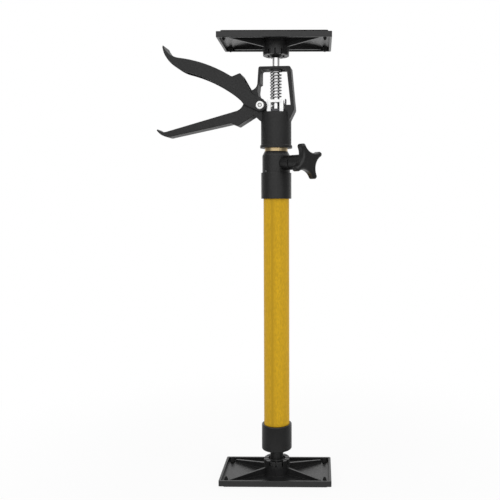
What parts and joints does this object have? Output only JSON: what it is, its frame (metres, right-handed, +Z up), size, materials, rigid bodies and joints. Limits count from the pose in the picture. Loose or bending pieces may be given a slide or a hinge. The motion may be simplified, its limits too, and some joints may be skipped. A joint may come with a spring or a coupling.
{
  "type": "telescopic support prop",
  "caption": "Telescopic support prop with a knob-clamped sliding tube, a squeeze-lever lifting head and tilting rubber-faced pads at foot and top.",
  "frame": {"origin": "on the floor under the foot's grip sheet, on the pole's axis", "axes": "+Z up the pole, -X towards the handles, -Y towards the viewer of the picture"},
  "size_m": [0.1916, 0.0831, 0.483],
  "materials": {
    "grip_rubber": "fine matt grip rubber",
    "black_moulding": "satin black moulded plastic",
    "black_casting": "satin black, fine moulded grain",
    "seat_nylon": "dark grey nylon",
    "yellow_paint": "golden yellow powder coat",
    "gold_plate": "yellow passivated zinc plate",
    "bright_steel": "bright zinc plate",
    "dark_steel": "black oxide",
    "insert_brass": "plain brass"
  },
  "bodies": {
    "foot": {"foot_pad": "black_moulding", "foot_rubber": "grip_rubber"},
    "foot_cradle": {"foot_seat": "seat_nylon"},
    "column": {"base_collar": "black_moulding", "outer_tube": "yellow_paint", "clamp_sleeve": "black_moulding", "sleeve_pin": "bright_steel", "clamp_insert": "insert_brass"},
    "clamp_slide": {"clamp_shoe": "seat_nylon"},
    "clamp_knob": {"star_knob": "black_moulding", "clamp_screw": "bright_steel"},
    "slider": {"inner_guide": "seat_nylon"},
    "head": {"inner_tube": "gold_plate", "pump_head": "black_casting", "head_screw": "dark_steel", "rod_bush": "seat_nylon", "return_spring": "bright_steel", "lock_spring": "bright_steel"},
    "lever": {"pump_lever": "black_casting", "lever_pin": "bright_steel", "lift_cam": "bright_steel"},
    "yoke": {"lift_yoke": "bright_steel"},
    "lock": {"lock_plate": "dark_steel"},
    "rod_slide": {"rod_stop": "dark_steel"},
    "rod": {"lift_rod": "bright_steel", "rod_ball": "black_moulding"},
    "top_cradle": {"top_seat": "seat_nylon"},
    "top": {"top_pad": "black_moulding", "top_rubber": "grip_rubber"}
  },
  "joints": [
    {"name": "foot_tilt_x", "type": "hinge", "parent": "foot", "child": "foot_cradle", "pos_m": [0, 0, 0.0138], "axis": [1, 0, 0], "range_deg": [-9, 9]},
    {"name": "foot_tilt_y", "type": "hinge", "parent": "foot_cradle", "child": "column", "pos_m": [0, 0, 0.0138], "axis": [0, 1, 0], "range_deg": [-9, 9]},
    {"name": "clamp_press", "type": "slide", "parent": "column", "child": "clamp_slide", "axis": [0.7071, -0.7071, 0], "range_m": [0, 0.0021]},
    {"name": "knob_turn", "type": "hinge", "parent": "clamp_slide", "child": "clamp_knob", "pos_m": [0, 0, 0.3464], "axis": [0.7071, -0.7071, 0], "range_deg": [0, 576]},
    {"name": "tube_slide", "type": "slide", "parent": "column", "child": "slider", "axis": [0, 0, 1], "range_m": [-0.0034, 0.21]},
    {"name": "tube_swivel", "type": "hinge", "parent": "slider", "child": "head", "pos_m": [0, 0, 0.2], "axis": [0, 0, 1], "continuous": true},
    {"name": "lever_squeeze", "type": "hinge", "parent": "head", "child": "lever", "pos_m": [-0.01564, 0.00137, 0.4083], "axis": [-0.0872, -0.9962, 0], "range_deg": [0, 28], "stiffness_Nm_per_rad": 0.6, "springref_deg": -20.05},
    {"name": "yoke_lift", "type": "slide", "parent": "head", "child": "yoke", "axis": [0, 0, 1], "range_m": [0, 0.0042], "deforming": ["return_spring"]},
    {"name": "lock_release", "type": "hinge", "parent": "head", "child": "lock", "pos_m": [-0.00887, 0.00078, 0.4029], "axis": [-0.0872, -0.9962, 0], "range_deg": [-2.5, 0], "stiffness_Nm_per_rad": 0.2, "springref_deg": 8.59, "deforming": ["lock_spring"]},
    {"name": "rod_lift", "type": "slide", "parent": "head", "child": "rod_slide", "axis": [0, 0, 1], "range_m": [-0.005, 0.055]},
    {"name": "rod_spin", "type": "hinge", "parent": "rod_slide", "child": "rod", "pos_m": [0, 0, 0.4], "axis": [0, 0, 1], "continuous": true},
    {"name": "pad_tilt_x", "type": "hinge", "parent": "rod", "child": "top_cradle", "pos_m": [0, 0, 0.4692], "axis": [1, 0, 0], "range_deg": [-15, 15]},
    {"name": "pad_tilt_y", "type": "hinge", "parent": "top_cradle", "child": "top", "pos_m": [0, 0, 0.4692], "axis": [0, 1, 0], "range_deg": [-15, 15]}
  ],
  "couplings": [
    {"joint": "yoke_lift", "follows": "lever_squeeze", "m_per_rad": 0.0083488},
    {"joint": "clamp_press", "follows": "knob_turn", "m_per_rad": 0.00019894}
  ]
}
